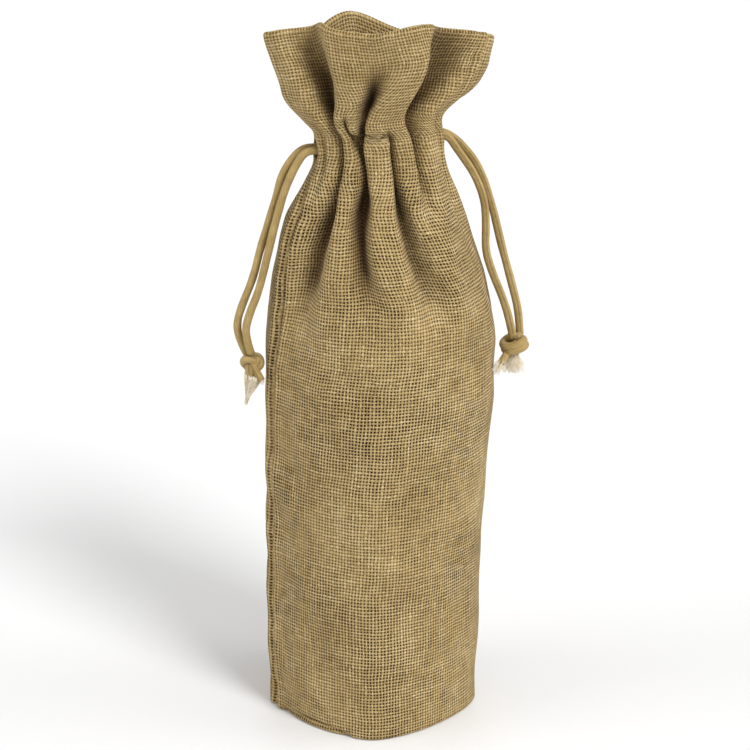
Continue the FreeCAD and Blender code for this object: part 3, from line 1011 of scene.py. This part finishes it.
def panel(name, rows, folds, out, sign, material, replaced):
    """A panel in one piece: the hem inside the base, the wall, the rim and the facing inside it."""
    heights = rows[:, 0, 2]
    left_side = (np.arange(COLUMNS) < COLUMNS / 2) == (sign < 0)
    wall, turn = sewn_wall(rows, out, sign, left_side)
    inner = facing_rows(wall, heights, turn)
    hem = turned_up(wall[0], out[0], HEM)
    sheet = np.concatenate([hem, wall, rim_roll(wall[-1], inner[0]), inner])
    # painted shade from the folds, on the wall's rows only
    painted_fold_shade = np.zeros(sheet.shape[:2])
    painted_fold_shade[len(hem):len(hem) + len(wall)] = folds

    steps = np.linalg.norm(np.diff(sheet, axis=0), axis=2).mean(axis=1)
    up = np.concatenate([[0], np.cumsum(steps)]) / YARN
    across = np.linspace(0, PANEL_WIDTH, COLUMNS) / YARN + (0 if sign < 0 else 200)
    uv = np.stack(np.broadcast_arrays(across[None, :], up[:, None]), axis=-1)
    mesh = mesh_from(name, sheet * MM, grid_faces(len(sheet), COLUMNS), uv, painted_fold_shade)
    obj = thickened(add_object(name, mesh), CLOTH * MM)
    dress(obj, material)
    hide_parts(*replaced)
    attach(obj, "bag")
    return wall


def stitches(name, places, material):
    """A row of stitches as short threads. Places are (start, end, outward) in millimetres."""
    paths = []
    for start, end, outward in places:
        t = np.linspace(0, 1, 7)[:, None]
        arch = np.sin(t * math.pi) ** 0.6
        points = start + (end - start) * t + outward * (arch * STITCH_ARCH + STITCH_LIFT)
        paths.append((points * MM, THREAD_R * MM))
    obj = add_object(name + "_thread", tube_mesh(name, paths, sides=7))
    dress(obj, material)
    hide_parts(name)
    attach(obj, "bag")


def stitch_places(panels, z):
    """Stitches on the cloth's face along a level row of both panels."""
    places = []
    for rows in panels:
        row = rows[np.argmin(np.abs(rows[:, COLUMNS // 2, 2] - z))]
        out = row_normals(row[None])[0]
        places += [(row[k], row[k + STITCH_COLUMNS], out[k + 1] * 0.6)
                   for k in range(3, COLUMNS - 6, STITCH_PITCH)]
    return places


def base_piece(panels, material):
    """The base: a disc whose edge turns up inside the base seam. Gives the places of its stitches."""
    edge = np.concatenate([panels[0][0][:-1], panels[1][0][:-1]])
    centre = edge.mean(axis=0)
    outward = edge - centre
    outward[:, 2] = 0
    outward /= np.linalg.norm(outward, axis=1)[:, None]
    rings = turned_up(edge, outward, BASE_EDGE)
    rim = rings[-1]
    for share in (0.94, 0.8, 0.6, 0.4, 0.2, 0.03):
        ring = centre + (rim - centre) * share
        ring[:, 2] = BASE_Z + BASE_DISHED * (1 - share)
        rings.append(ring)
    rings = np.array(rings)
    uv = rings[:, :, :2] / YARN + 400
    faces = grid_faces(len(rings), len(edge), wrap=True).tolist()
    faces.append(list(range((len(rings) - 1) * len(edge), len(rings) * len(edge))))
    obj = thickened(add_object("base_cloth", mesh_from("base", rings * MM, faces, uv)), CLOTH * MM)
    dress(obj, material)
    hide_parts("base_panel", "base_seam_allowance")
    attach(obj, "bag")
    row = turned_up(edge, outward, BASE_STITCHES)[0]
    return [(row[k], row[k + STITCH_COLUMNS], -outward[k] * 0.2)
            for k in range(2, len(edge) - 4, STITCH_PITCH)]


ALLOWANCE_FROM = 0.9  # the turned-in edges start this far inside the seam, mm
ALLOWANCE_TO = 7.6
ALLOWANCE_GAP = 0.08  # half the gap between the two plies
ALLOWANCE_PLY = 1.1


def seam_allowance(side, panels, material):
    """The two panels' turned-in side edges, inside the bag along a side seam."""
    sign = -1 if side == "left" else 1
    column = 0 if side == "left" else COLUMNS - 1
    rows = panels[0][:, column]
    x, y, z = rows[(rows[:, 2] > 10.5) & (rows[:, 2] < 250)].T
    outer, inner = x - sign * ALLOWANCE_FROM, x - sign * ALLOWANCE_TO
    points, faces, count = [], [], 0
    for away in (-1, 1):
        near, far = [y + away * gap for gap in (ALLOWANCE_GAP, ALLOWANCE_GAP + ALLOWANCE_PLY)]
        corners = ((outer, near), (inner, near), (inner, far), (outer, far))
        loop = np.stack([np.stack([cx, cy, z], axis=1) for cx, cy in corners], axis=1)
        points.append(loop.reshape(-1, 3))
        faces += tube_faces(len(loop), 4, count)
        count += len(loop) * 4
    points = np.concatenate(points)
    uv = points[:, (0, 2)] / YARN
    obj = add_object(side + "_turned_edges", mesh_from("allowance", points * MM, faces, uv))
    dress(obj, material)
    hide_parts(side + "_seam_allowance")
    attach(obj, "bag")


def make_bag():
    jute, thread = jute_material(), thread_material()
    heights = np.concatenate([BASE_HEIGHTS, np.arange(BODY_LOW, FOLDS_LOW, BODY_STEP),
                              np.arange(FOLDS_LOW, RIM_Z + 0.1, FOLD_STEP)])
    # the rows, and the painted shade of their folds
    rows, folds = ring_rows(heights)
    out = ring_normals(rows)
    panels = [panel(side + "_cloth", rows[k], folds[k], out[k], sign, jute,
                    (side + "_panel", side + "_facing"))
              for k, (side, sign) in enumerate((("front", -1), ("back", 1)))]
    stitches("base_stitches", base_piece(panels, jute), thread)
    stitches("casing_lower_stitches", stitch_places(panels, CASING_LOWER_Z), thread)
    stitches("casing_upper_stitches", stitch_places(panels, CASING_UPPER_Z), thread)
    for side in ("left", "right"):
        seam_allowance(side, panels, jute)
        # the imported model's own stitches, hidden in the side seams, have no UV map
        hidden = speckled_material("hidden_thread", 3.0, ((0.3, THREAD_DARK), (0.7, THREAD_PALE)), 0.7)
        dress(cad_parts[side + "_side_stitches"], hidden)


# ---- stage and light

FLOOR_REACH = 6.0
FLOOR_GREY = 0.80
WALLS = ((0.23, 0.66), (0.50, 0.16))  # how far up the room, and how light it is there
LIGHTS = (  # name, turn, rise, softness, strength
    ("key", 26, 42, 20, 2.1),
    ("left_fill", -88, 22, 40, 1.0),
    ("right_fill", 74, 26, 34, 0.8),
    ("top", 0, 84, 60, 1.0),
    ("back", 168, 32, 30, 0.4),
)


def make_stage():
    floor = bpy.data.meshes.new("floor")
    corners = [(x * FLOOR_REACH, y * FLOOR_REACH, 0) for x, y in ((-1, -1), (1, -1), (1, 1), (-1, 1))]
    floor.from_pydata(corners, [], [[0, 1, 2, 3]])
    obj = add_object("floor", floor)
    s = Surface("floor", roughness=0.9)
    s.shader.inputs["Base Color"].default_value = (FLOOR_GREY, FLOOR_GREY, FLOOR_GREY, 1)
    obj.data.materials.append(s.material)


def far_light(name, turn, rise, softness, strength):
    """A wide light far off. Turn is from the front towards the right, rise from level, in degrees."""
    data = bpy.data.lights.new(name, "SUN")
    data.angle = math.radians(softness)
    data.energy = strength
    light = add_object(name, data)
    turn, rise = math.radians(turn), math.radians(rise)
    towards = Vector((math.sin(turn) * math.cos(rise), -math.cos(turn) * math.cos(rise),
                      math.sin(rise)))
    light.rotation_mode = "QUATERNION"
    light.rotation_quaternion = towards.to_track_quat("Z", "Y")


def make_light():
    scene = bpy.context.scene
    scene.view_settings.view_transform = "Standard"
    world = bpy.data.worlds.new("studio")
    scene.world = world
    world.use_nodes = True
    # pale walls round the stage, and a darker room above them
    tree = world.node_tree
    split = tree.nodes.new("ShaderNodeSeparateXYZ")
    walls = tree.nodes.new("ShaderNodeValToRGB")
    tree.links.new(tree.nodes.new("ShaderNodeTexCoord").outputs["Generated"], split.inputs[0])
    tree.links.new(split.outputs[2], walls.inputs[0])
    for element, (rise, level) in zip(walls.color_ramp.elements, WALLS):
        element.position = rise
        element.color = (level, level, level, 1)
    tree.links.new(walls.outputs[0], tree.nodes["Background"].inputs[0])
    for light in LIGHTS:
        far_light(*light)


make_camera()
make_stage()
make_light()
make_drawstrings()
make_bag()
